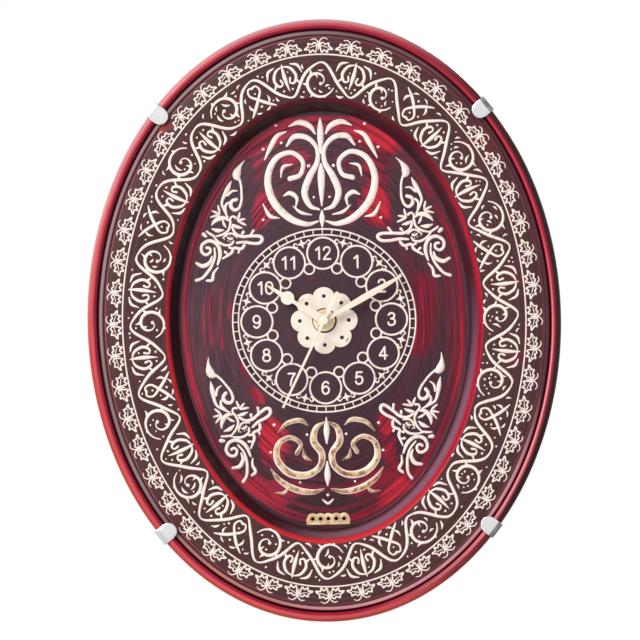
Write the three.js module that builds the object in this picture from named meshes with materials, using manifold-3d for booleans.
// An oval wall clock that calls the hours of prayer: a lacquered dish plate in a bead frame, gripped
// by four mirror clips, with a quartz movement and a small voice module in a shell behind it.
// Millimetres. +Z is up, +X is to the right seen from the front, and the front faces -Y.
// The origin lies on the wall, behind the axis of the hands. Depths are negative towards the viewer.
// An angle runs clockwise from twelve o'clock, seen from the front.

import * as THREE from "three";
import { mergeVertices } from "three/addons/utils/BufferGeometryUtils.js";
import Module from "manifold-3d";

const wasm = await Module();
wasm.setup();

// Fits that many pieces share
const seatGap = 0.3;
const runGap = 0.4;
const cutRun = 1;
const joinDepth = 0.5;

// The frame ring: a half-round bead on a ledge that carries the plate
const overallWidth = 360;
const overallHeight = 458;
const beadRadius = 3.8;
const beadWallHeight = 2.5;
const ringWidth = 20;
const ringDepth = 17.7;
const ovalSides = 60;
const beadSteps = 4;

// The dish plate: flat rim, sloping well wall and flat panel
const plateThickness = 3;
const plateEdgeGap = 0.4;
const edgeChamfer = 1.2;
const lipWidth = 2;
const lipHeight = 1;
const rimWidth = 52.5;
const wellDepth = 18;
const wellRun = 9;

// The flower plate round the hub, and the small grille at the foot of the panel
const rosetteThickness = 1;
const rosetteRadius = 25.6;
const rosetteNotchRadius = 21.3;
const rosetteLobes = 8;
const lobeSteps = 6;
const rosetteHoleRadius = 1.5;
const rosetteHoleOrbit = 18.7;
const grilleWidth = 33.6;
const grilleHeight = 9.2;
const grilleThickness = 0.7;
const grilleFootMargin = 3.3;
const grilleHoleRadius = 1.5;
const grilleHolePitch = 6;
const grilleHoles = 5;

// The mirror clips and the screws that hold them
const clipAngles = [Math.PI / 4, (3 * Math.PI) / 4, (5 * Math.PI) / 4, (7 * Math.PI) / 4];
const clipNames = ["upper_right", "lower_right", "lower_left", "upper_left"];
const clipWidth = 13;
const clipThickness = 1;
const clipReach = 13.6;
const clipFootReach = 11;
const clipScrewInset = 6;
const clipScrew = { headRadius: 2.6, headHeight: 1.8, shankRadius: 1.5, shankLength: 9 };

// The rear housing, its screws and its wall
const housingWall = 2.5;
const flangeInset = 13.5;
const flangeThickness = 2.5;
const housingShoulderInset = 22;
const housingBackInset = 34;
const housingScrewInset = 17;
const housingScrew = { headRadius: 2.8, headHeight: 2, shankRadius: 1.5, shankLength: 12 };
const housingScrewCount = 4;
const screwTipRoom = 0.6;
const headRounding = 0.6;

// The quartz movement: a square case hung on a threaded bushing
const rearClearance = 4.8;
const movementWidth = 56;
const movementCorner = 4;
const caseWall = 1.2;
const coverThickness = 1.4;
const coverRoom = 1.4;
const cushionThickness = 0.6;
const cushionRadius = 11;
const bushingRadius = 3.9;
const bushingTip = 0.9;
const washerRadius = 8;
const washerThickness = 0.5;
const nutRadius = 6.5;
const nutHeight = 2.2;
const middlePlateThickness = 1;

// The wheels of the movement
const wheelThickness = 0.8;
const magnetLength = 2.5;
const magnetRadius = 3;
const motionWorkDistance = 10;
const minuteWheelAngle = -Math.PI / 4;
const thirdDistance = 10;
const thirdAngle = (2 * Math.PI) / 3;
const intermediateDistance = 10.08;
const intermediateAngle = (-3 * Math.PI) / 4;
const rotorDistance = 8.4;
const rotorAngle = (10 * Math.PI) / 9;
const teeth = {
  cannonPinion: 10,
  minuteWheel: 30,
  minutePinion: 8,
  hourWheel: 32,
  knobPinion: 15,
  centerWheel: 48,
  thirdPinion: 6,
  thirdWheel: 45,
  secondPinion: 6,
  secondWheel: 30,
  intermediatePinion: 6,
  intermediateWheel: 36,
  rotorPinion: 6,
};
const addendumShare = 0.72;
const dedendumShare = 1.12;
const pinionTipShare = 0.16;
const pinionRootShare = 0.5;
const wheelTipShare = 0.12;

// The shafts that run inside each other, and the posts and arbors beside them
const hourPipeRadius = 2.5;
const hourPipeWall = 0.65;
const minuteTubeWall = 0.6;
const secondArborRadius = 0.65;
const thirdArborRadius = 0.45;
const smallArborRadius = 0.4;
const minutePostRadius = 0.6;
const knobShaftRadius = 1.2;
const bearingWall = 0.85;
const bearingEndRoom = 0.5;

// The setting knob, reached through the back
const knobRadius = 6;
const knobRecess = 0.8;
const knobWindowGap = 1;

// The stepping motor and its board
const statorThickness = 0.8;
const statorWeb = 1.8;
const statorBarHeight = 2.4;
const statorEndRoom = 3.2;
const coilRadius = 2.6;
const coilWallRoom = 2.7;
const coilEndRoom = 0.9;
const quartzBoardWidth = 28;
const quartzBoardHeight = 10;
const quartzBoardThickness = 0.9;
const quartzBoardEdgeRoom = 2.8;
const quartzBoardSideRoom = 5.8;
const quartzCanRadius = 1.4;
const quartzCanLength = 7;

// The hands and their rest angles
const handThickness = 0.8;
const handSpacing = 1.6;
const hourHandLength = 51.5;
const minuteHandLength = 68.8;
const secondHandLength = 73.6;
const secondTailLength = 24.2;
const hourHubRadius = 5;
const minuteHubRadius = 4.2;
const secondHubRadius = 3;
const hourHandClearance = 0.8;
const tubeProud = 0.2;
const hourHandAngle = THREE.MathUtils.degToRad(302.6);
const minuteHandAngle = THREE.MathUtils.degToRad(61.1);
const secondHandAngle = THREE.MathUtils.degToRad(206.5);
const hourHandWidth = 8.8;
const minuteHandWidth = 5.6;
const secondHandWidth = 1.3;
const secondTailWidth = 3.6;
const secondCapHeight = 0.8;

// The loudspeaker behind the grille
const speakerRadius = 25;
const speakerDepth = 12;
const speakerWall = 1;
const speakerFlange = 3;
const speakerThroatRadius = 9;
const coneThickness = 0.8;
const dustCapHeight = 3;
const speakerMagnetRadius = 13;
const speakerMagnetHeight = 4;
const speakerDrop = 14.3;

// The battery compartment in the housing
const cellRadius = 7.1;
const cellLength = 49;
const cellNubRadius = 2.7;
const cellNubLength = 1.5;
const cellRounding = 0.6;
const cellCount = 3;
const contactThickness = 0.6;
const springLength = 2.2;
const springRadius = 3.4;
const contactHeight = 38;
const contactWidth = 9;
const pocketWall = 1.5;
const doorThickness = 2;
const doorLedge = 2;
const doorRecess = 0.2;
const pocketDrop = 20;

// The voice module: board, display, buttons and switch
const boardWidth = 84;
const boardHeight = 44;
const boardThickness = 1.6;
const boardStandoff = 4.2;
const boardRise = 60;
const boardPegInset = 4;
const boardBossRadius = 3;
const boardPegRadius = 1.2;
const displayWidth = 42;
const displayHeight = 17;
const displayFrameWidth = 2.5;
const displayRise = 8;
const paneRecess = 0.3;
const buttonRadius = 3.5;
const buttonFlange = 1.1;
const buttonFlangeThickness = 1;
const buttonRecess = 0.5;
const buttonTravel = 1;
const buttonStemRadius = 1.5;
const buttonPitch = 14;
const buttonCount = 3;
const buttonDrop = 13;
const buttonRowShift = -22;
const tactWidth = 6;
const tactHeight = 1.1;
const switchShift = 26;
const switchTravel = 3;
const switchKnobWidth = 4;
const switchKnobHeight = 3.2;
const switchBodyHeight = 1.6;
const chipWidth = 12;
const chipHeight = 1.5;

// The hanger plate and its pocket
const hangerDrop = 30;
const hangerWidth = 46;
const hangerHeight = 26;
const hangerThickness = 1.4;
const hangerRecess = 0.2;
const hangerPocketDepth = 8;
const hangerPocketMargin = 6;
const keyholeRadius = 4.5;
const keyholeSlotWidth = 4.4;
const keyholeRise = 7;
const keyholeDrop = 4;
const hangerScrewInset = 3;
const hangerScrewRadius = 1.1;
const hangerScrewHead = 2.3;
const hangerScrewLength = 7;

// The leads
const leadRadius = 1;
const leadSides = 8;
const leadSteps = 22;
const leadOffset = 8;
const leadTail = 2;
const leadRise = 24;
const leadSplay = 32;

// Sides of the round pieces
const fineSides = 28;
const roundSides = 18;
const smallSides = 10;
const nutSides = 6;
const cornerSteps = 3;

// Depths that follow from the stack, from the wall forwards
const halfWidth = overallWidth / 2;
const halfHeight = overallHeight / 2;
const housingFloor = -housingWall;
const movementBack = housingFloor - rearClearance;
const coverFront = movementBack - coverThickness;
const magnetBack = coverFront - coverRoom;
const magnetFront = magnetBack - magnetLength;
const stepBack = wheelThickness + runGap;
const intermediateFront = magnetFront - stepBack;
const secondWheelFront = intermediateFront - stepBack;
const thirdWheelFront = secondWheelFront - stepBack;
const centerWheelFront = thirdWheelFront - stepBack;
const middlePlateFront = centerWheelFront - runGap - middlePlateThickness;
const minuteWheelFront = middlePlateFront - stepBack;
const hourWheelFront = minuteWheelFront - stepBack;
const caseFloor = hourWheelFront - runGap;
const movementFront = caseFloor - caseWall;
const panelBack = movementFront - seatGap - cushionThickness - seatGap;
const panelFront = panelBack - plateThickness;
const rimFront = panelFront - wellDepth;
const rimBack = rimFront + plateThickness;
const lipCrest = rimFront - lipHeight;
const ringLedge = rimBack + seatGap;
const ringBack = ringLedge + ringDepth;
const beadCentre = ringLedge - beadWallHeight;
const beadCrest = beadCentre - beadRadius;
const flangeFront = ringBack + seatGap;
const flangeBack = flangeFront + flangeThickness;
const rosetteFront = panelFront - seatGap - rosetteThickness;
const washerFront = rosetteFront - seatGap - washerThickness;
const nutFront = washerFront - seatGap - nutHeight;
const bushingFront = nutFront - bushingTip;
const hourHandBack = bushingFront - hourHandClearance;
const hourHandFront = hourHandBack - handThickness;
const minuteHandBack = hourHandFront - handSpacing;
const minuteHandFront = minuteHandBack - handThickness;
const secondHandBack = minuteHandFront - handSpacing;
const secondHandFront = secondHandBack - handThickness;

// Insets from the outer oval that follow from the rim's parts
const beadWidth = 2 * beadRadius;
const plateEdgeInset = beadWidth + plateEdgeGap;
const lipOuterInset = plateEdgeInset + edgeChamfer;
const lipInnerInset = lipOuterInset + lipWidth;
const arrisInset = plateEdgeInset + rimWidth;
const wellFootInset = arrisInset + wellRun;
const wallSlope = Math.hypot(wellRun, wellDepth);
const wallSpread = (plateThickness * (wallSlope - wellRun)) / wellDepth;
const arrisBackInset = arrisInset - wallSpread;
const wellFootBackInset = wellFootInset - wallSpread;
const panelHalfHeight = halfHeight - wellFootInset;

// Radii that follow from the shafts
const hourPipeBore = hourPipeRadius - hourPipeWall;
const minuteTubeRadius = hourPipeBore - seatGap;
const minuteTubeBore = minuteTubeRadius - minuteTubeWall;
const bushingBore = hourPipeRadius + seatGap;
const hubHoleRadius = bushingRadius + seatGap;

// Modules of the gears: each pair fills the distance between its two axes
const minuteModule = (2 * motionWorkDistance) / (teeth.cannonPinion + teeth.minuteWheel);
const hourModule = (2 * motionWorkDistance) / (teeth.minutePinion + teeth.hourWheel);
const thirdModule = (2 * thirdDistance) / (teeth.secondPinion + teeth.thirdWheel);
const centerModule = (2 * thirdDistance) / (teeth.thirdPinion + teeth.centerWheel);
const secondModule = (2 * intermediateDistance) / (teeth.secondWheel + teeth.intermediatePinion);
const rotorModule = (2 * rotorDistance) / (teeth.intermediateWheel + teeth.rotorPinion);
const knobDistance = (minuteModule * (teeth.minuteWheel + teeth.knobPinion)) / 2;

// Places in the plane of the wall, as [x, z]
const hub = [0, 0];
const minutePost = awayFrom(hub, minuteWheelAngle, motionWorkDistance);
const knobAxis = awayFrom(minutePost, minuteWheelAngle, knobDistance);
const thirdAxis = awayFrom(hub, thirdAngle, thirdDistance);
const intermediateAxis = awayFrom(hub, intermediateAngle, intermediateDistance);
const rotorAxis = awayFrom(intermediateAxis, rotorAngle, rotorDistance);
const caseInner = movementWidth - 2 * caseWall;
const statorEye = magnetRadius + runGap;
const statorLeft = rotorAxis[0] - statorBarHeight;
const statorRight = caseInner / 2 - statorEndRoom;
const statorRise = -(caseInner / 2 - coilWallRoom - coilRadius);
const coilLeft = rotorAxis[0] + statorEye + statorWeb + runGap;
const coilRight = statorRight - 2 * statorBarHeight - coilEndRoom;
const grilleCentre = [0, -(panelHalfHeight - grilleFootMargin - grilleHeight / 2)];
const hangerCentre = [0, halfHeight - housingBackInset - hangerDrop];
const boardCentre = [0, movementWidth / 2 + boardRise];
const cellPitch = 2 * cellRadius + runGap;
const pocketWidth = cellLength + cellNubLength + 2 * (springLength + contactThickness + seatGap);
const pocketHeight = cellCount * cellPitch + runGap;
const pocketCentre = [0, -(movementWidth / 2 + pocketDrop + pocketHeight / 2)];
const pocketFoot = pocketCentre[1] - pocketHeight / 2 - doorLedge - pocketWall;
const speakerCentre = [0, pocketFoot - speakerDrop - speakerRadius];
const doorWidth = pocketWidth + 2 * doorLedge - 2 * seatGap;
const doorHeight = pocketHeight + 2 * doorLedge - 2 * seatGap;
const doorSeat = -(doorRecess + doorThickness + seatGap);
const pocketFloor = doorSeat - runGap - 2 * cellRadius - seatGap;

// A place at a distance from another, in the direction of an angle.
function awayFrom(place, angle, distance) {
  return [place[0] + distance * Math.sin(angle), place[1] + distance * Math.cos(angle)];
}

// The direction square to the outer oval at an angle, as a unit [x, z].
function ovalNormal(angle) {
  const x = Math.sin(angle) / halfWidth;
  const z = Math.cos(angle) / halfHeight;
  const length = Math.hypot(x, z);
  return [x / length, z / length];
}

// A place at an inset from the outer oval, measured square to it.
function ovalPlace(angle, inset) {
  const normal = ovalNormal(angle);
  return [
    halfWidth * Math.sin(angle) - inset * normal[0],
    halfHeight * Math.cos(angle) - inset * normal[1],
  ];
}

// A closed surface as a solid for joining and cutting, turned so that its faces point outwards.
function solidFrom(geometry) {
  const bare = geometry.index ? geometry.toNonIndexed() : geometry.clone();
  bare.deleteAttribute("normal");
  bare.deleteAttribute("uv");
  const merged = mergeVertices(bare);
  const position = merged.attributes.position;
  const corners = Array.from(merged.index.array);
  const triangles = [];
  const [a, b, c] = [new THREE.Vector3(), new THREE.Vector3(), new THREE.Vector3()];
  let volume = 0;
  for (let i = 0; i < corners.length; i += 3) {
    const [p, q, r] = corners.slice(i, i + 3);
    if (p === q || q === r || r === p) continue;
    triangles.push([p, q, r]);
    a.fromBufferAttribute(position, p);
    b.fromBufferAttribute(position, q);
    c.fromBufferAttribute(position, r);
    volume += a.dot(b.cross(c));
  }
  const outward = volume < 0 ? triangles.map(([p, q, r]) => [p, r, q]) : triangles;
  return new wasm.Manifold(
    new wasm.Mesh({
      numProp: 3,
      vertProperties: position.array,
      triVerts: new Uint32Array(outward.flat()),
    }),
  );
}

// A solid as a geometry with flat faces.
function geometryFrom(solid) {
  const mesh = solid.getMesh();
  const count = mesh.numVert;
  const positions = new Float32Array(count * 3);
  for (let i = 0; i < count; i++) {
    const start = i * mesh.numProp;
    positions.set(mesh.vertProperties.subarray(start, start + 3), i * 3);
  }
  const geometry = new THREE.BufferGeometry();
  geometry.setAttribute("position", new THREE.BufferAttribute(positions, 3));
  geometry.setIndex(new THREE.BufferAttribute(mesh.triVerts, 1));
  const flat = geometry.toNonIndexed();
  flat.computeVertexNormals();
  return flat;
}

// The points of a circle, as Vector2 of x and z.
function circle(place, radius, sides) {
  const points = [];
  for (let i = 0; i < sides; i++) {
    const [x, z] = awayFrom(place, (2 * Math.PI * i) / sides, radius);
    points.push(new THREE.Vector2(x, z));
  }
  return points;
}

// A flat outline as a slab between two depths, with its holes cut through.
function slab(outline, holes, front, back) {
  let solid = extruded(outline, front, back);
  for (const hole of holes) {
    solid = solid.subtract(extruded(hole, front - cutRun, back + cutRun));
  }
  return solid;
}

function extruded(outline, front, back) {
  const shape = new THREE.Shape(outline);
  const geometry = new THREE.ExtrudeGeometry(shape, {
    depth: back - front,
    bevelEnabled: false,
  });
  return solidFrom(geometry.rotateX(Math.PI / 2).translate(0, back, 0));
}

// A profile of [radius, depth] turned about an axis that runs front to back.
function turned(profile, place, sides) {
  const points = profile.map(([radius, depth]) => new THREE.Vector2(radius, depth));
  points.push(points[0]);
  const geometry = new THREE.LatheGeometry(points, sides);
  return solidFrom(geometry.translate(place[0], 0, place[1]));
}

// A round bar between two depths.
function bar(place, radius, front, back, sides) {
  const geometry = new THREE.CylinderGeometry(radius, radius, back - front, sides);
  return solidFrom(geometry.translate(place[0], (front + back) / 2, place[1]));
}

// A round tube between two depths.
function tube(place, radius, bore, front, back, sides) {
  const profile = [
    [bore, front],
    [radius, front],
    [radius, back],
    [bore, back],
  ];
  return turned(profile, place, sides);
}

// A block between two depths, with its centre in the plane of the wall.
function block(place, width, height, front, back) {
  const geometry = new THREE.BoxGeometry(width, back - front, height);
  return solidFrom(geometry.translate(place[0], (front + back) / 2, place[1]));
}

// The outline of a rectangle with round corners.
function roundRectangle(place, width, height, corner) {
  const points = [];
  const x = width / 2 - corner;
  const z = height / 2 - corner;
  const middles = [
    [x, z],
    [x, -z],
    [-x, -z],
    [-x, z],
  ];
  middles.forEach(([cornerX, cornerZ], quarter) => {
    for (let i = 0; i <= cornerSteps; i++) {
      const angle = (Math.PI / 2) * (quarter + i / cornerSteps);
      const [px, pz] = awayFrom([place[0] + cornerX, place[1] + cornerZ], angle, corner);
      points.push(new THREE.Vector2(px, pz));
    }
  });
  return points;
}

// A profile of [inset, depth] carried round the oval. A closed profile makes a ring. An open one
// starts and ends at the middle of the oval, and makes a dish.
function ovalSweep(profile, closed) {
  const positions = [];
  const indices = [];
  const rows = profile.length;
  for (let i = 0; i < ovalSides; i++) {
    const angle = (2 * Math.PI * i) / ovalSides;
    for (const [inset, depth] of profile) {
      const [x, z] = ovalPlace(angle, inset);
      positions.push(x, depth, z);
    }
  }
  for (let i = 0; i < ovalSides; i++) {
    const here = i * rows;
    const next = ((i + 1) % ovalSides) * rows;
    for (let j = 0; j < (closed ? rows : rows - 1); j++) {
      const k = (j + 1) % rows;
      indices.push(here + j, next + j, next + k, here + j, next + k, here + k);
    }
    if (!closed) {
      const first = ovalSides * rows;
      indices.push(first, next, here, first + 1, here + rows - 1, next + rows - 1);
    }
  }
  if (!closed) positions.push(0, profile[0][1], 0, 0, profile[rows - 1][1], 0);
  const geometry = new THREE.BufferGeometry();
  geometry.setAttribute("position", new THREE.Float32BufferAttribute(positions, 3));
  geometry.setIndex(indices);
  return solidFrom(geometry);
}

// A screw that goes in from the back: a rounded head behind its seat, and a shank in front of it.
function screw(place, seat, size) {
  const profile = [
    [0, seat + size.headHeight],
    [size.headRadius - headRounding, seat + size.headHeight],
    [size.headRadius, seat + size.headHeight - headRounding],
    [size.headRadius, seat],
    [size.shankRadius, seat],
    [size.shankRadius, seat - size.shankLength],
    [0, seat - size.shankLength],
  ];
  return turned(profile, place, smallSides);
}

// The blind hole that a screw's shank goes into, open at the back of the piece that it holds.
function screwHole(place, mouth, seat, size) {
  const bottom = seat - size.shankLength - screwTipRoom;
  return bar(place, size.shankRadius + seatGap, bottom, mouth + cutRun, smallSides);
}

// The toothed outline of a gear. The first tooth points along the phase angle. A pinion's teeth
// stand apart at the root, and a wheel's teeth meet there.
function gearOutline(place, count, module, phase) {
  const tip = module * (count / 2 + addendumShare);
  const root = module * (count / 2 - dedendumShare);
  const half = Math.PI / count;
  const points = [];
  for (let i = 0; i < count; i++) {
    const middle = phase + 2 * half * i;
    const corners = isWheel(count)
      ? [
          [root, -half],
          [tip, -half * wheelTipShare],
          [tip, half * wheelTipShare],
        ]
      : [
          [root, -half * pinionRootShare],
          [tip, -half * pinionTipShare],
          [tip, half * pinionTipShare],
          [root, half * pinionRootShare],
        ];
    for (const [radius, turn] of corners) {
      const [x, z] = awayFrom(place, middle + turn, radius);
      points.push(new THREE.Vector2(x, z));
    }
  }
  return points;
}

function isWheel(count) {
  return count > teeth.knobPinion;
}

// The phase that puts a gap of the driven gear opposite a tooth of the driving one.
function meshedPhase(direction, driverPhase, driverTeeth, drivenTeeth) {
  const offset = ((driverPhase - direction) * driverTeeth) / drivenTeeth;
  return direction + Math.PI + Math.PI / drivenTeeth - offset;
}

const phases = gearPhases();

function gearPhases() {
  const t = teeth;
  const minute = meshedPhase(minuteWheelAngle, 0, t.cannonPinion, t.minuteWheel);
  const back = minuteWheelAngle + Math.PI;
  const third = meshedPhase(thirdAngle, 0, t.secondPinion, t.thirdWheel);
  const driven = intermediateAngle;
  const intermediate = meshedPhase(driven, 0, t.secondWheel, t.intermediatePinion);
  return {
    minute,
    hour: meshedPhase(back, minute, t.minutePinion, t.hourWheel),
    knob: meshedPhase(minuteWheelAngle, minute, t.minuteWheel, t.knobPinion),
    third,
    center: meshedPhase(thirdAngle + Math.PI, third, t.thirdPinion, t.centerWheel),
    intermediate,
    rotor: meshedPhase(rotorAngle, intermediate, t.intermediateWheel, t.rotorPinion),
  };
}

// The frame ring, with a bead in front, a ledge for the plate and screw holes in its back.
function frameRing() {
  const profile = [[0, ringBack]];
  for (let i = 0; i <= beadSteps; i++) {
    const angle = (Math.PI * i) / beadSteps;
    const inset = beadRadius * (1 - Math.cos(angle));
    profile.push([inset, beadCentre - beadRadius * Math.sin(angle)]);
  }
  profile.push([beadWidth, ringLedge], [ringWidth, ringLedge], [ringWidth, ringBack]);
  let ring = ovalSweep(profile, true);
  for (const angle of clipAngles) {
    const place = ovalPlace(angle, clipScrewInset);
    ring = ring.subtract(screwHole(place, ringBack, clipScrewSeat(), clipScrew));
  }
  for (const place of housingScrewPlaces()) {
    ring = ring.subtract(screwHole(place, ringBack, flangeBack + seatGap, housingScrew));
  }
  return ring;
}

// The dish plate, cut for the bushing and for the sound behind the grille.
function facePlate() {
  const profile = [
    [wellFootInset, panelFront],
    [arrisInset, rimFront],
    [lipInnerInset + lipHeight, rimFront],
    [lipInnerInset, lipCrest],
    [lipOuterInset, lipCrest],
    [plateEdgeInset, lipCrest + edgeChamfer + lipHeight],
    [plateEdgeInset, rimBack],
    [arrisBackInset, rimBack],
    [wellFootBackInset, panelBack],
  ];
  const front = panelFront - cutRun;
  const back = panelBack + cutRun;
  let plate = ovalSweep(profile, false);
  plate = plate.subtract(bar(hub, hubHoleRadius, front, back, roundSides));
  for (const place of grilleHolePlaces()) {
    plate = plate.subtract(bar(place, grilleHoleRadius, front, back, smallSides));
  }
  return plate;
}

// The flower plate: round lobes that meet in notches, each with a small hole.
function centerRosette() {
  const half = Math.PI / rosetteLobes;
  const reach = rosetteRadius;
  const notch = rosetteNotchRadius;
  const orbit = (reach ** 2 - notch ** 2) / (2 * (reach - notch * Math.cos(half)));
  const lobe = reach - orbit;
  const sweep = Math.atan2(notch * Math.sin(half), notch * Math.cos(half) - orbit);
  const outline = [];
  const holes = [circle(hub, hubHoleRadius, roundSides)];
  for (let i = 0; i < rosetteLobes; i++) {
    const middle = 2 * half * i;
    const centre = awayFrom(hub, middle, orbit);
    for (let j = 0; j < lobeSteps; j++) {
      const turn = sweep * ((2 * j) / lobeSteps - 1);
      const [x, z] = awayFrom(centre, middle + turn, lobe);
      outline.push(new THREE.Vector2(x, z));
    }
    holes.push(circle(awayFrom(hub, middle, rosetteHoleOrbit), rosetteHoleRadius, smallSides));
  }
  return slab(outline, holes, rosetteFront, rosetteFront + rosetteThickness);
}

function grilleHolePlaces() {
  const places = [];
  for (let i = 0; i < grilleHoles; i++) {
    const x = (i - (grilleHoles - 1) / 2) * grilleHolePitch;
    places.push([grilleCentre[0] + x, grilleCentre[1]]);
  }
  return places;
}

// The grille: a strip with a straight foot and a scalloped top, over the sound holes.
function soundGrille() {
  const lobe = grilleWidth / grilleHoles / 2;
  const foot = grilleCentre[1] - grilleHeight / 2;
  const shoulder = foot + grilleHeight - lobe;
  const outline = [
    new THREE.Vector2(grilleWidth / 2, foot),
    new THREE.Vector2(-grilleWidth / 2, foot),
  ];
  for (let i = 0; i < grilleHoles; i++) {
    const centre = [lobe * (2 * i + 1) - grilleWidth / 2, shoulder];
    for (let j = 0; j < lobeSteps; j++) {
      const [x, z] = awayFrom(centre, Math.PI * (j / lobeSteps - 1 / 2), lobe);
      outline.push(new THREE.Vector2(x, z));
    }
  }
  outline.push(new THREE.Vector2(grilleWidth / 2, shoulder));
  const holes = grilleHolePlaces().map((place) => circle(place, grilleHoleRadius, smallSides));
  const back = panelFront - seatGap;
  return slab(outline, holes, back - grilleThickness, back);
}

function clipFootFront() {
  return ringBack + seatGap;
}

function clipScrewSeat() {
  return clipFootFront() + clipThickness + seatGap;
}

// A mirror clip: a flap with a round end over the bead, a leg down the side and a foot behind.
function mirrorClip(angle) {
  const halfClip = clipWidth / 2;
  const outside = seatGap + clipThickness;
  const flapFront = beadCrest - seatGap - clipThickness;
  const footBack = clipFootFront() + clipThickness;
  const roundMiddle = halfClip - clipReach;
  const outline = [new THREE.Vector2(-halfClip, outside), new THREE.Vector2(halfClip, outside)];
  for (let i = 0; i <= lobeSteps; i++) {
    const [x, z] = awayFrom([0, roundMiddle], Math.PI * (1 / 2 + i / lobeSteps), halfClip);
    outline.push(new THREE.Vector2(x, z));
  }
  const legMiddle = [0, seatGap + clipThickness / 2];
  const footLength = outside + clipFootReach;
  const footMiddle = [0, outside - footLength / 2];
  let clip = slab(outline, [], flapFront, flapFront + clipThickness);
  clip = clip.add(block(legMiddle, clipWidth, clipThickness, flapFront, footBack));
  clip = clip.add(block(footMiddle, clipWidth, footLength, clipFootFront(), footBack));
  const hole = bar(
    [0, -clipScrewInset],
    clipScrew.shankRadius + seatGap,
    clipFootFront() - cutRun,
    footBack + cutRun,
    smallSides,
  );
  const [normalX, normalZ] = ovalNormal(angle);
  const [x, z] = ovalPlace(angle, 0);
  const placed = geometryFrom(clip.subtract(hole));
  return solidFrom(placed.rotateY(Math.atan2(normalX, normalZ)).translate(x, 0, z));
}

function housingScrewPlaces() {
  const places = [];
  for (let i = 0; i < housingScrewCount; i++) {
    places.push(ovalPlace((2 * Math.PI * i) / housingScrewCount, housingScrewInset));
  }
  return places;
}

// The rear housing: a shallow tray with a screwed flange, a battery pocket, a hanger pocket,
// posts for the board, and openings for the knob, the display, the buttons and the switch.
function rearHousing() {
  const wallRun = housingBackInset - housingShoulderInset;
  const sideLength = Math.hypot(wallRun, flangeBack);
  const inward = (housingWall * sideLength) / Math.abs(flangeBack);
  const lean = wallRun / Math.abs(flangeBack);
  const profile = [
    [housingBackInset + inward - housingWall * lean, housingFloor],
    [housingShoulderInset + inward - (flangeBack - flangeFront) * lean, flangeFront],
    [flangeInset, flangeFront],
    [flangeInset, flangeBack],
    [housingShoulderInset, flangeBack],
    [housingBackInset, 0],
  ];
  let tray = ovalSweep(profile, false);
  for (const place of housingScrewPlaces()) {
    const radius = housingScrew.shankRadius + seatGap;
    const hole = bar(place, radius, flangeFront - cutRun, flangeBack + cutRun, smallSides);
    tray = tray.subtract(hole);
  }
  tray = withBatteryPocket(tray);
  tray = withHangerPocket(tray);
  tray = withBoardPosts(tray);
  const front = housingFloor - cutRun;
  const knobWindow = bar(knobAxis, knobRadius + knobWindowGap, front, cutRun, roundSides);
  tray = tray.subtract(knobWindow);
  const pane = block(displayCentre(), displayOpening()[0], displayOpening()[1], front, cutRun);
  tray = tray.subtract(pane);
  for (const place of buttonPlaces()) {
    tray = tray.subtract(bar(place, buttonRadius + seatGap, front, cutRun, roundSides));
  }
  const slotWidth = switchKnobWidth + switchTravel + 2 * seatGap;
  const slotHeight = switchKnobHeight + 2 * seatGap;
  return tray.subtract(block(switchCentre(), slotWidth, slotHeight, front, cutRun));
}

function withBatteryPocket(tray) {
  const margin = 2 * (doorLedge + pocketWall);
  const shell = block(
    pocketCentre,
    pocketWidth + margin,
    pocketHeight + margin,
    pocketFloor - pocketWall,
    housingFloor + joinDepth,
  );
  const well = block(pocketCentre, pocketWidth, pocketHeight, pocketFloor, cutRun);
  const rebateWidth = pocketWidth + 2 * doorLedge;
  const rebateHeight = pocketHeight + 2 * doorLedge;
  const rebate = block(pocketCentre, rebateWidth, rebateHeight, doorSeat, cutRun);
  return tray.add(shell).subtract(well).subtract(rebate);
}

function hangerSeat() {
  return -(hangerRecess + hangerThickness + seatGap);
}

function hangerScrewPlaces() {
  const x = hangerWidth / 2 - hangerScrewInset;
  return [
    [hangerCentre[0] - x, hangerCentre[1]],
    [hangerCentre[0] + x, hangerCentre[1]],
  ];
}

function withHangerPocket(tray) {
  const seat = hangerSeat();
  const width = hangerWidth + 2 * seatGap;
  const height = hangerHeight + 2 * seatGap;
  const innerWidth = hangerWidth - 2 * hangerPocketMargin;
  const innerHeight = hangerHeight - 2 * pocketWall;
  const floor = seat - hangerPocketDepth;
  const shell = block(
    hangerCentre,
    width + 2 * pocketWall,
    height + 2 * pocketWall,
    floor - pocketWall,
    housingFloor + joinDepth,
  );
  let result = tray.add(shell);
  result = result.subtract(block(hangerCentre, innerWidth, innerHeight, floor, cutRun));
  result = result.subtract(block(hangerCentre, width, height, seat, cutRun));
  for (const place of hangerScrewPlaces()) {
    const bottom = seat - hangerScrewLength;
    const hole = bar(place, hangerScrewRadius + seatGap, bottom, seat + joinDepth, smallSides);
    result = result.subtract(hole);
  }
  return result;
}

function boardBack() {
  return housingFloor - boardStandoff - seatGap;
}

function boardPegPlaces() {
  const x = boardWidth / 2 - boardPegInset;
  const z = boardHeight / 2 - boardPegInset;
  const places = [];
  for (const sideX of [-1, 1]) {
    for (const sideZ of [-1, 1]) {
      places.push([boardCentre[0] + sideX * x, boardCentre[1] + sideZ * z]);
    }
  }
  return places;
}

// Posts that the board rests on, each with a peg through it that is melted over.
function withBoardPosts(tray) {
  const shoulder = housingFloor - boardStandoff;
  const pegFront = boardBack() - boardThickness - seatGap;
  let result = tray;
  for (const place of boardPegPlaces()) {
    const back = housingFloor + joinDepth;
    result = result.add(bar(place, boardBossRadius, shoulder, back, smallSides));
    result = result.add(bar(place, boardPegRadius, pegFront, back, smallSides));
  }
  return result;
}

function displayCentre() {
  return [boardCentre[0], boardCentre[1] + displayRise];
}

function displayOpening() {
  return [displayWidth - 2 * displayFrameWidth, displayHeight - 2 * displayFrameWidth];
}

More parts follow.
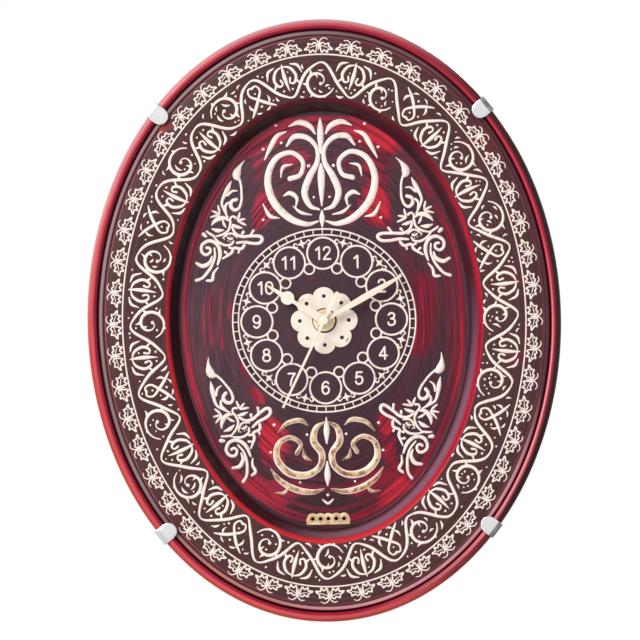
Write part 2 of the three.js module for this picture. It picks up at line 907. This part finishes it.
function displayPanel() {
  const back = housingFloor - 2 * seatGap;
  return block(displayCentre(), displayWidth, displayHeight, boardBack() + seatGap, back);
}

// The clear pane in the display's opening.
function displayPane() {
  const [width, height] = displayOpening();
  const paneWidth = width - 2 * seatGap;
  const paneHeight = height - 2 * seatGap;
  return block(displayCentre(), paneWidth, paneHeight, housingFloor + seatGap, -paneRecess);
}

function buttonPlaces() {
  const places = [];
  for (let i = 0; i < buttonCount; i++) {
    const x = boardCentre[0] + buttonRowShift + i * buttonPitch;
    places.push([x, boardCentre[1] - buttonDrop]);
  }
  return places;
}

// A push button: its cap in the hole, a flange behind the wall and a stem that meets the switch.
function pushButton(place) {
  const flangeTop = housingFloor - seatGap;
  const flangeBottom = flangeTop - buttonFlangeThickness;
  const stemEnd = boardBack() + tactHeight + runGap + buttonTravel;
  const rounding = buttonRecess;
  const profile = [
    [0, -buttonRecess],
    [buttonRadius - rounding, -buttonRecess],
    [buttonRadius, -buttonRecess - rounding],
    [buttonRadius, flangeTop],
    [buttonRadius + buttonFlange, flangeTop],
    [buttonRadius + buttonFlange, flangeBottom],
    [buttonStemRadius, flangeBottom],
    [buttonStemRadius, stemEnd],
    [0, stemEnd],
  ];
  return turned(profile, place, roundSides);
}

function switchCentre() {
  return [boardCentre[0] + switchShift, boardCentre[1] - buttonDrop];
}

// The slide of the sound switch, at the left end of its slot.
function switchSlide() {
  const centre = switchCentre();
  const place = [centre[0] - switchTravel / 2, centre[1]];
  const flangeTop = housingFloor - seatGap;
  const flangeBottom = flangeTop - buttonFlangeThickness;
  const flangeWidth = switchKnobWidth + 2 * (switchTravel + seatGap);
  const flangeHeight = switchKnobHeight + 2 * buttonFlange;
  const knob = block(place, switchKnobWidth, switchKnobHeight, flangeBottom, -buttonRecess);
  return knob.add(block(place, flangeWidth, flangeHeight, flangeBottom, flangeTop));
}

// The circuit board, with what is soldered to it.
function circuitBoard() {
  const back = boardBack();
  const front = back - boardThickness;
  let board = block(boardCentre, boardWidth, boardHeight, front, back);
  for (const place of boardPegPlaces()) {
    const radius = boardPegRadius + seatGap;
    board = board.subtract(bar(place, radius, front - cutRun, back + cutRun, smallSides));
  }
  for (const place of buttonPlaces()) {
    board = board.add(block(place, tactWidth, tactWidth, back - joinDepth, back + tactHeight));
  }
  const bodyWidth = switchKnobWidth + 2 * switchTravel;
  const body = [bodyWidth, tactWidth, back - joinDepth, back + switchBodyHeight];
  board = board.add(block(switchCentre(), ...body));
  return board.add(
    block(boardCentre, chipWidth, chipWidth, front - chipHeight, front + joinDepth),
  );
}

// The battery door, a plain plate that fits the rebate.
function batteryDoor() {
  const back = -doorRecess;
  return block(pocketCentre, doorWidth, doorHeight, back - doorThickness, back);
}

function cellDepth() {
  return pocketFloor + seatGap + cellRadius;
}

function cellRise(index) {
  return pocketCentre[1] + (index - (cellCount - 1) / 2) * cellPitch;
}

// Every other cell is turned round, so that they stand in series.
function cellSide(index) {
  return index % 2 === 0 ? 1 : -1;
}

// A cell lying across the pocket.
function batteryCell(index) {
  const half = (cellLength + cellNubLength) / 2;
  const profile = [
    [0, -half],
    [cellRadius, -half],
    [cellRadius, half - cellNubLength - cellRounding],
    [cellRadius - cellRounding, half - cellNubLength],
    [cellNubRadius, half - cellNubLength],
    [cellNubRadius, half],
    [0, half],
  ];
  const points = profile.map(([radius, along]) => new THREE.Vector2(radius, along));
  const geometry = new THREE.LatheGeometry(points, roundSides);
  geometry.rotateZ((-Math.PI / 2) * cellSide(index));
  return solidFrom(geometry.translate(pocketCentre[0], cellDepth(), cellRise(index)));
}

// A strip of contacts at one end of the pocket, with a conical spring at each minus pole
// and a pip at each plus pole.
function batteryContacts(side) {
  const wall = pocketCentre[0] + (side * pocketWidth) / 2 - side * seatGap;
  const face = wall - side * contactThickness;
  const strip = new THREE.BoxGeometry(contactThickness, contactWidth, contactHeight);
  strip.translate((wall + face) / 2, cellDepth(), pocketCentre[1]);
  let contacts = solidFrom(strip);
  for (let i = 0; i < cellCount; i++) {
    const isSpring = cellSide(i) !== side;
    const length = springLength - seatGap + contactThickness / 2;
    const wide = isSpring ? springRadius : cellNubRadius;
    const cone = new THREE.CylinderGeometry(cellNubRadius, wide, length, smallSides);
    cone.rotateZ((side * Math.PI) / 2);
    const middle = face + (side * contactThickness) / 2 - (side * length) / 2;
    contacts = contacts.add(solidFrom(cone.translate(middle, cellDepth(), cellRise(i))));
  }
  return contacts;
}

// The hanger: a steel plate with a keyhole and two countersunk holes.
function hangerPlate() {
  const back = -hangerRecess;
  const front = back - hangerThickness;
  const outline = roundRectangle(hangerCentre, hangerWidth, hangerHeight, hangerScrewInset);
  let plate = slab(outline, [], front, back);
  const eye = [hangerCentre[0], hangerCentre[1] - keyholeDrop];
  const slotHeight = keyholeDrop + keyholeRise;
  const slotMiddle = [eye[0], eye[1] + slotHeight / 2];
  const slotEnd = [eye[0], eye[1] + slotHeight];
  const run = [front - cutRun, back + cutRun];
  plate = plate.subtract(bar(eye, keyholeRadius, ...run, roundSides));
  plate = plate.subtract(bar(slotEnd, keyholeSlotWidth / 2, ...run, smallSides));
  plate = plate.subtract(block(slotMiddle, keyholeSlotWidth, slotHeight, ...run));
  for (const place of hangerScrewPlaces()) {
    const taper = (hangerScrewHead - hangerScrewRadius) / hangerThickness;
    const sink = [
      [0, front - cutRun],
      [hangerScrewRadius + seatGap - cutRun * taper, front - cutRun],
      [hangerScrewHead + seatGap + cutRun * taper, back + cutRun],
      [0, back + cutRun],
    ];
    plate = plate.subtract(turned(sink, place, smallSides));
  }
  return plate;
}

// A countersunk screw, flush with the hanger plate.
function hangerScrew(place) {
  const back = -hangerRecess;
  const tip = hangerSeat() - hangerScrewLength + screwTipRoom;
  const profile = [
    [0, back],
    [hangerScrewHead, back],
    [hangerScrewRadius, back - hangerThickness],
    [hangerScrewRadius, tip],
    [0, tip],
  ];
  return turned(profile, place, smallSides);
}

// The loudspeaker's basket, open in front and round the magnet.
function speakerFrame() {
  const front = panelBack + seatGap;
  const back = front + speakerDepth;
  const inner = speakerRadius - speakerFlange;
  const profile = [
    [inner, front],
    [speakerRadius, front],
    [speakerRadius, front + speakerWall],
    [inner + speakerWall, front + speakerWall + speakerWall],
    [speakerThroatRadius + speakerWall + speakerFlange, back],
    [speakerThroatRadius - speakerFlange, back],
    [speakerThroatRadius - speakerFlange, back - speakerWall],
    [speakerThroatRadius + speakerFlange, back - speakerWall],
    [inner, front + speakerWall + speakerWall],
  ];
  return turned(profile, speakerCentre, fineSides);
}

// The paper cone with its dust cap.
function speakerCone() {
  const front = panelBack + seatGap + speakerWall;
  const rim = speakerRadius - speakerFlange - seatGap;
  const throat = speakerThroatRadius - speakerFlange - seatGap;
  const deep = front + speakerDepth / 2;
  const cap = deep - dustCapHeight;
  const profile = [
    [0, cap],
    [throat, deep - coneThickness],
    [rim - coneThickness, front],
    [rim, front],
    [rim, front + coneThickness],
    [throat, deep],
    [0, deep],
  ];
  return turned(profile, speakerCentre, roundSides);
}

function speakerMagnet() {
  const front = panelBack + seatGap + speakerDepth + seatGap;
  return bar(speakerCentre, speakerMagnetRadius, front, front + speakerMagnetHeight, roundSides);
}

// A lead as a round cord along a curve through its points.
function lead(points) {
  const path = new THREE.CatmullRomCurve3(points.map((point) => new THREE.Vector3(...point)));
  const section = new THREE.Shape(circle(hub, leadRadius, leadSides));
  const geometry = new THREE.ExtrudeGeometry(section, {
    steps: leadSteps,
    bevelEnabled: false,
    extrudePath: path,
  });
  return solidFrom(geometry);
}

function leadDepth() {
  return boardBack() - boardThickness / 2;
}

// From the loudspeaker's basket, up the right side, to the foot of the board.
function speakerLead() {
  const deep = leadDepth() - leadRadius;
  const side = Math.max(movementWidth, pocketWidth) / 2 + leadOffset;
  const start = speakerCentre[0] + speakerThroatRadius + speakerFlange + speakerWall;
  const rise = speakerCentre[1] + speakerRadius / 2;
  const end = boardCentre[1] - boardHeight / 2 - seatGap;
  const low = pocketCentre[1] - pocketHeight / 2;
  return lead([
    [start + leadTail, deep, rise],
    [start + leadOffset, deep, rise],
    [side, deep, low],
    [side, deep, pocketCentre[1]],
    [side, deep, hub[1]],
    [side, deep, end - leadSplay],
    [side - leadOffset, leadDepth(), end - leadOffset],
    [side - leadOffset, leadDepth(), end],
  ]);
}

// From the battery pocket, up the left side, to the foot of the board.
function batteryLead() {
  const side = -(Math.max(movementWidth, pocketWidth) / 2 + leadOffset);
  const top = pocketCentre[1] + pocketHeight / 2 + doorLedge + pocketWall + seatGap;
  const end = boardCentre[1] - boardHeight / 2 - seatGap;
  const start = pocketCentre[0] - pocketWidth / 2 + leadOffset;
  return lead([
    [start, leadDepth(), top],
    [start, leadDepth(), top + leadOffset / 2],
    [side, leadDepth(), top + leadRise],
    [side, leadDepth(), hub[1]],
    [side, leadDepth(), end - leadSplay],
    [side + leadOffset, leadDepth(), end - leadOffset],
    [side + leadOffset, leadDepth(), end],
  ]);
}

// The movement's case: a square cup, open behind, with the bushing in front
// and a post for the minute wheel.
function movementCase() {
  const rim = coverFront - seatGap;
  const outline = roundRectangle(hub, movementWidth, movementWidth, movementCorner);
  const cavity = roundRectangle(hub, caseInner, caseInner, movementCorner - caseWall);
  const postEnd = middlePlateFront - seatGap;
  let shell = slab(outline, [], movementFront, rim);
  shell = shell.subtract(slab(cavity, [], caseFloor, rim + cutRun));
  shell = shell.add(bar(hub, bushingRadius, bushingFront, caseFloor - joinDepth, roundSides));
  shell = shell.subtract(
    bar(hub, bushingBore, bushingFront - cutRun, caseFloor + cutRun, roundSides),
  );
  return shell.add(
    bar(minutePost, minutePostRadius, caseFloor - joinDepth, postEnd, smallSides),
  );
}

// The middle plate carries the front ends of the arbors.
function middlePlate() {
  const side = caseInner - 2 * seatGap;
  const outline = roundRectangle(hub, side, side, movementCorner - caseWall);
  const holes = [
    circle(hub, minuteTubeRadius + seatGap, roundSides),
    circle(thirdAxis, thirdArborRadius + seatGap, smallSides),
    circle(intermediateAxis, smallArborRadius + seatGap, smallSides),
    circle(rotorAxis, smallArborRadius + seatGap, smallSides),
    circle(knobAxis, knobShaftRadius + seatGap, smallSides),
  ];
  return slab(outline, holes, middlePlateFront, middlePlateFront + middlePlateThickness);
}

function statorFront() {
  return magnetFront + runGap;
}

// The movement's cover, with a bearing boss for each arbor and two posts under the stator.
function movementCover() {
  const outline = roundRectangle(hub, movementWidth, movementWidth, movementCorner);
  const knobHole = circle(knobAxis, knobShaftRadius + seatGap, smallSides);
  const wheelBack = secondWheelFront + wheelThickness + runGap;
  const bearings = [
    [hub, secondArborRadius, wheelBack],
    [thirdAxis, thirdArborRadius, wheelBack],
    [intermediateAxis, smallArborRadius, intermediateFront + wheelThickness + runGap],
    [rotorAxis, smallArborRadius, magnetBack + runGap],
  ];
  const blind = coverFront + bearingEndRoom;
  let cover = slab(outline, [knobHole], coverFront, movementBack);
  for (const [place, radius, front] of bearings) {
    const boss = radius + seatGap + bearingWall;
    cover = cover.add(bar(place, boss, front, coverFront + joinDepth, smallSides));
    cover = cover.subtract(bar(place, radius + seatGap, front - cutRun, blind, smallSides));
  }
  const posts = [
    [[rotorAxis[0] - statorEye - statorWeb / 2, rotorAxis[1]], statorWeb / 2],
    [[statorRight - statorBarHeight, statorRise], statorBarHeight / 2],
  ];
  const postFront = statorFront() + statorThickness + seatGap;
  for (const [place, radius] of posts) {
    cover = cover.add(bar(place, radius, postFront, coverFront + joinDepth, smallSides));
  }
  return cover;
}

// The soft washer between the case and the plate.
function rubberWasher() {
  const front = panelBack + seatGap;
  return tube(hub, cushionRadius, hubHoleRadius, front, front + cushionThickness, roundSides);
}

function brassWasher() {
  const back = washerFront + washerThickness;
  return tube(hub, washerRadius, hubHoleRadius, washerFront, back, fineSides);
}

function hexNut() {
  const outline = circle(hub, nutRadius, nutSides);
  return slab(outline, [circle(hub, hubHoleRadius, roundSides)], nutFront, nutFront + nutHeight);
}

// The hour wheel on its pipe.
function hourWheel() {
  const outline = gearOutline(hub, teeth.hourWheel, hourModule, phases.hour);
  const bore = circle(hub, hourPipeBore, roundSides);
  const back = hourWheelFront + wheelThickness;
  const wheel = slab(outline, [bore], hourWheelFront, back);
  const pipeFront = hourHandFront - tubeProud;
  return wheel.add(tube(hub, hourPipeRadius, hourPipeBore, pipeFront, back, roundSides));
}

// The tube that carries the minute hand, with its pinion.
function cannonPinion() {
  const outline = gearOutline(hub, teeth.cannonPinion, minuteModule, 0);
  const bore = circle(hub, minuteTubeBore, roundSides);
  const pinion = slab(outline, [bore], minuteWheelFront, minuteWheelFront + wheelThickness);
  const front = minuteHandFront - tubeProud;
  const back = thirdWheelFront - seatGap;
  return pinion.add(tube(hub, minuteTubeRadius, minuteTubeBore, front, back, roundSides));
}

// The minute wheel and its pinion turn on the case's post.
function minuteWheel() {
  const bore = circle(minutePost, minutePostRadius + seatGap, smallSides);
  const back = minuteWheelFront + wheelThickness;
  const wheelLine = gearOutline(minutePost, teeth.minuteWheel, minuteModule, phases.minute);
  const pinionLine = gearOutline(minutePost, teeth.minutePinion, hourModule, phases.minute);
  const wheel = slab(wheelLine, [bore], minuteWheelFront, back);
  return wheel.add(slab(pinionLine, [bore], hourWheelFront, back - wheelThickness / 2));
}

// The setting knob: a pinion on the minute wheel, a shaft through the cover, and the knob.
function settingKnob() {
  const line = gearOutline(knobAxis, teeth.knobPinion, minuteModule, phases.knob);
  const back = minuteWheelFront + wheelThickness;
  const knobFront = movementBack + seatGap;
  const grip = knobFront + seatGap;
  const pinion = slab(line, [], minuteWheelFront, back);
  const shaft = bar(knobAxis, knobShaftRadius, back - joinDepth, -knobRecess, smallSides);
  return pinion.add(shaft).add(bar(knobAxis, knobRadius, grip, -knobRecess, roundSides));
}

// The centre wheel rides on the minute tube, and slips there when the hands are set.
function centerWheel() {
  const line = gearOutline(hub, teeth.centerWheel, centerModule, phases.center);
  const bore = circle(hub, minuteTubeRadius + seatGap, roundSides);
  return slab(line, [bore], centerWheelFront, centerWheelFront + wheelThickness);
}

function arborFront() {
  return middlePlateFront + middlePlateThickness / 2;
}

function arborBack() {
  return coverFront + bearingEndRoom - seatGap;
}

// A wheel with a pinion in front of it, both on one arbor between the plate and the cover.
function wheelAndPinion(size) {
  const { place, wheelTeeth, wheelModule, pinionTeeth, pinionModule, phase, radius } = size;
  const wheelBack = size.wheelFront + wheelThickness;
  const wheelLine = gearOutline(place, wheelTeeth, wheelModule, phase);
  const pinionLine = gearOutline(place, pinionTeeth, pinionModule, phase);
  const wheel = slab(wheelLine, [], size.wheelFront, wheelBack);
  const middle = size.wheelFront + wheelThickness / 2;
  const pinion = slab(pinionLine, [], size.pinionFront, middle);
  const arbor = bar(place, radius, size.arborFront, arborBack(), smallSides);
  return wheel.add(pinion).add(arbor);
}

function thirdWheel() {
  return wheelAndPinion({
    place: thirdAxis,
    wheelTeeth: teeth.thirdWheel,
    wheelModule: thirdModule,
    pinionTeeth: teeth.thirdPinion,
    pinionModule: centerModule,
    phase: phases.third,
    radius: thirdArborRadius,
    wheelFront: thirdWheelFront,
    pinionFront: centerWheelFront,
    arborFront: arborFront(),
  });
}

// The second arbor runs through the minute tube to the second hand.
function secondArbor() {
  return wheelAndPinion({
    place: hub,
    wheelTeeth: teeth.secondWheel,
    wheelModule: secondModule,
    pinionTeeth: teeth.secondPinion,
    pinionModule: thirdModule,
    phase: 0,
    radius: secondArborRadius,
    wheelFront: secondWheelFront,
    pinionFront: thirdWheelFront,
    arborFront: secondHandFront,
  });
}

function intermediateWheel() {
  return wheelAndPinion({
    place: intermediateAxis,
    wheelTeeth: teeth.intermediateWheel,
    wheelModule: rotorModule,
    pinionTeeth: teeth.intermediatePinion,
    pinionModule: secondModule,
    phase: phases.intermediate,
    radius: smallArborRadius,
    wheelFront: intermediateFront,
    pinionFront: secondWheelFront,
    arborFront: arborFront(),
  });
}

// The rotor: a magnet and a pinion on one arbor.
function rotor() {
  const line = gearOutline(rotorAxis, teeth.rotorPinion, rotorModule, phases.rotor);
  const middle = (magnetFront + magnetBack) / 2;
  const pinion = slab(line, [], intermediateFront, middle);
  const magnet = bar(rotorAxis, magnetRadius, magnetFront, magnetBack, roundSides);
  const arbor = bar(rotorAxis, smallArborRadius, arborFront(), arborBack(), smallSides);
  return magnet.add(pinion).add(arbor);
}

// The stator: a thin steel sheet with an eye round the rotor and a bar through the coil.
function stator() {
  const front = statorFront();
  const back = front + statorThickness;
  const middle = [(statorLeft + statorRight) / 2, statorRise];
  const neck = [rotorAxis[0], (rotorAxis[1] + statorRise) / 2];
  const height = rotorAxis[1] - statorRise;
  let sheet = bar(rotorAxis, statorEye + statorWeb, front, back, roundSides);
  sheet = sheet.add(block(neck, 2 * statorBarHeight, height, front, back));
  sheet = sheet.add(block(middle, statorRight - statorLeft, statorBarHeight, front, back));
  return sheet.subtract(bar(rotorAxis, statorEye, front - cutRun, back + cutRun, roundSides));
}

// The coil, wound round the stator's bar.
function coil() {
  const centre = [(coilLeft + coilRight) / 2, statorRise];
  const length = coilRight - coilLeft;
  const depth = statorFront() + statorThickness / 2;
  const winding = new THREE.CylinderGeometry(coilRadius, coilRadius, length, roundSides);
  winding.rotateZ(Math.PI / 2).translate(centre[0], depth, centre[1]);
  const core = block(
    centre,
    length + 2 * cutRun,
    statorBarHeight + 2 * seatGap,
    statorFront() - seatGap,
    statorFront() + statorThickness + seatGap,
  );
  return solidFrom(winding).subtract(core);
}

// The small board with the quartz can.
function quartzBoard() {
  const back = coverFront - seatGap;
  const front = back - quartzBoardThickness;
  const centre = [
    caseInner / 2 - quartzBoardSideRoom - quartzBoardWidth / 2,
    caseInner / 2 - quartzBoardEdgeRoom - quartzBoardHeight / 2,
  ];
  const board = block(centre, quartzBoardWidth, quartzBoardHeight, front, back);
  const can = new THREE.CylinderGeometry(
    quartzCanRadius,
    quartzCanRadius,
    quartzCanLength,
    smallSides,
  );
  const depth = front - quartzCanRadius / 2;
  can.rotateZ(Math.PI / 2).translate(centre[0], depth, centre[1]);
  return board.add(solidFrom(can));
}

// A flat hand: an outline towards twelve o'clock with a hole at the hub, turned to its angle.
function flatHand(outline, hubRadius, bore, front, angle) {
  const back = front + handThickness;
  let hand = slab(outline, [], front, back);
  hand = hand.add(bar(hub, hubRadius, front, back, roundSides));
  hand = hand.subtract(bar(hub, bore, front - cutRun, back + cutRun, roundSides));
  return solidFrom(geometryFrom(hand).rotateY(angle));
}

// Both sides of an outline from its half widths along the hand.
function mirrored(halves) {
  const right = halves.map(([half, along]) => new THREE.Vector2(half, along));
  const left = halves
    .filter(([half]) => half > 0)
    .map(([half, along]) => new THREE.Vector2(-half, along));
  return right.concat(left.reverse());
}

// Half widths as shares of the hand's width, at shares of its length.
const hourHandShares = [
  [0.2, 0],
  [0.2, 0.44],
  [0.34, 0.5],
  [0.5, 0.585],
  [0.5, 0.665],
  [0.3, 0.74],
  [0.16, 0.8],
  [0, 1],
];
const minuteHandShares = [
  [0.26, 0],
  [0.3, 0.2],
  [0.5, 0.4],
  [0.42, 0.6],
  [0.16, 0.93],
  [0, 1],
];

function hourHand() {
  const halves = hourHandShares.map(([w, l]) => [w * hourHandWidth, l * hourHandLength]);
  const bore = hourPipeRadius + seatGap;
  return flatHand(mirrored(halves), hourHubRadius, bore, hourHandFront, hourHandAngle);
}

function minuteHand() {
  const halves = minuteHandShares.map(([w, l]) => [w * minuteHandWidth, l * minuteHandLength]);
  const bore = minuteTubeRadius + seatGap;
  return flatHand(mirrored(halves), minuteHubRadius, bore, minuteHandFront, minuteHandAngle);
}

// The second hand: a needle, a broader tail with a round end, and a cap over the arbor.
function secondHand() {
  const needle = secondHandWidth / 2;
  const tail = secondTailWidth / 2;
  const tailMiddle = [0, tail - secondTailLength];
  const outline = [
    new THREE.Vector2(needle, secondHandLength),
    new THREE.Vector2(needle, 0),
    new THREE.Vector2(tail, tailMiddle[1]),
  ];
  for (let i = 1; i < lobeSteps; i++) {
    const [x, z] = awayFrom(tailMiddle, Math.PI * (1 / 2 + i / lobeSteps), tail);
    outline.push(new THREE.Vector2(x, z));
  }
  outline.push(new THREE.Vector2(-tail, tailMiddle[1]));
  outline.push(new THREE.Vector2(-needle, 0), new THREE.Vector2(-needle, secondHandLength));
  const bore = secondArborRadius + seatGap;
  const top = secondHandFront - secondCapHeight;
  const cap = [
    [0, top],
    [secondHubRadius - secondCapHeight, top],
    [secondHubRadius, secondHandFront],
    [secondHubRadius, secondHandBack],
    [0, secondHandBack],
  ];
  let hand = slab(outline, [], secondHandFront, secondHandBack);
  hand = hand.add(turned(cap, hub, roundSides));
  const blind = secondHandFront - seatGap;
  hand = hand.subtract(bar(hub, bore, blind, secondHandBack + cutRun, smallSides));
  return solidFrom(geometryFrom(hand).rotateY(secondHandAngle));
}

// Finishes: colour, roughness and metalness
const finishes = {
  redLacquer: [0x8e1626, 0.25, 0],
  plumLacquer: [0x4b2a30, 0.35, 0],
  ivory: [0xfff0e4, 0.5, 0],
  chrome: [0xd9dcdf, 0.12, 1],
  steel: [0xa9adb2, 0.35, 1],
  blackPlastic: [0x17171a, 0.55, 0],
  whitePlastic: [0xe9e8e2, 0.5, 0],
  brass: [0xc8a24c, 0.3, 1],
  rubber: [0x1b1b1b, 0.85, 0],
  copper: [0xb4612c, 0.4, 1],
  circuitGreen: [0x1f5a34, 0.55, 0],
  displayGrey: [0x9aa68f, 0.25, 0],
  clear: [0xe6eeee, 0.08, 0],
  magnet: [0x3a3a3d, 0.6, 0.4],
  paper: [0x26262a, 0.9, 0],
  cellWrap: [0x2f6b8a, 0.4, 0.2],
  redWire: [0xb3262a, 0.5, 0],
};

const clock = new THREE.Group();

function addPiece(name, solid, finish) {
  const [color, roughness, metalness] = finishes[finish];
  const material = new THREE.MeshStandardMaterial({ color, roughness, metalness });
  const mesh = new THREE.Mesh(geometryFrom(solid), material);
  mesh.name = name;
  clock.add(mesh);
}

addPiece("frame_ring", frameRing(), "redLacquer");
addPiece("face_plate", facePlate(), "plumLacquer");
addPiece("center_rosette", centerRosette(), "ivory");
addPiece("sound_grille", soundGrille(), "brass");
clipAngles.forEach((angle, i) => {
  addPiece("mirror_clip_" + clipNames[i], mirrorClip(angle), "chrome");
  const seat = ovalPlace(angle, clipScrewInset);
  addPiece("clip_screw_" + clipNames[i], screw(seat, clipScrewSeat(), clipScrew), "steel");
});
addPiece("rear_housing", rearHousing(), "blackPlastic");
housingScrewPlaces().forEach((seat, i) => {
  addPiece("housing_screw_" + (i + 1), screw(seat, flangeBack + seatGap, housingScrew), "steel");
});
addPiece("hanger_plate", hangerPlate(), "steel");
hangerScrewPlaces().forEach((seat, i) => {
  addPiece("hanger_screw_" + (i + 1), hangerScrew(seat), "steel");
});
addPiece("battery_door", batteryDoor(), "blackPlastic");
for (let i = 0; i < cellCount; i++) {
  addPiece("battery_cell_" + (i + 1), batteryCell(i), "cellWrap");
}
addPiece("battery_contacts_left", batteryContacts(-1), "steel");
addPiece("battery_contacts_right", batteryContacts(1), "steel");
addPiece("circuit_board", circuitBoard(), "circuitGreen");
addPiece("display_panel", displayPanel(), "displayGrey");
addPiece("display_pane", displayPane(), "clear");
buttonPlaces().forEach((seat, i) => {
  addPiece("push_button_" + (i + 1), pushButton(seat), "whitePlastic");
});
addPiece("sound_switch", switchSlide(), "whitePlastic");
addPiece("speaker_frame", speakerFrame(), "steel");
addPiece("speaker_cone", speakerCone(), "paper");
addPiece("speaker_magnet", speakerMagnet(), "magnet");
addPiece("speaker_lead", speakerLead(), "redWire");
addPiece("battery_lead", batteryLead(), "rubber");
addPiece("movement_case", movementCase(), "blackPlastic");
addPiece("middle_plate", middlePlate(), "whitePlastic");
addPiece("movement_cover", movementCover(), "blackPlastic");
addPiece("rubber_washer", rubberWasher(), "rubber");
addPiece("brass_washer", brassWasher(), "brass");
addPiece("hex_nut", hexNut(), "brass");
addPiece("hour_wheel", hourWheel(), "whitePlastic");
addPiece("cannon_pinion", cannonPinion(), "brass");
addPiece("minute_wheel", minuteWheel(), "whitePlastic");
addPiece("setting_knob", settingKnob(), "whitePlastic");
addPiece("center_wheel", centerWheel(), "whitePlastic");
addPiece("third_wheel", thirdWheel(), "whitePlastic");
addPiece("second_arbor", secondArbor(), "whitePlastic");
addPiece("intermediate_wheel", intermediateWheel(), "whitePlastic");
addPiece("rotor", rotor(), "magnet");
addPiece("stator", stator(), "steel");
addPiece("coil", coil(), "copper");
addPiece("quartz_board", quartzBoard(), "circuitGreen");
addPiece("hour_hand", hourHand(), "ivory");
addPiece("minute_hand", minuteHand(), "ivory");
addPiece("second_hand", secondHand(), "ivory");

export default clock;
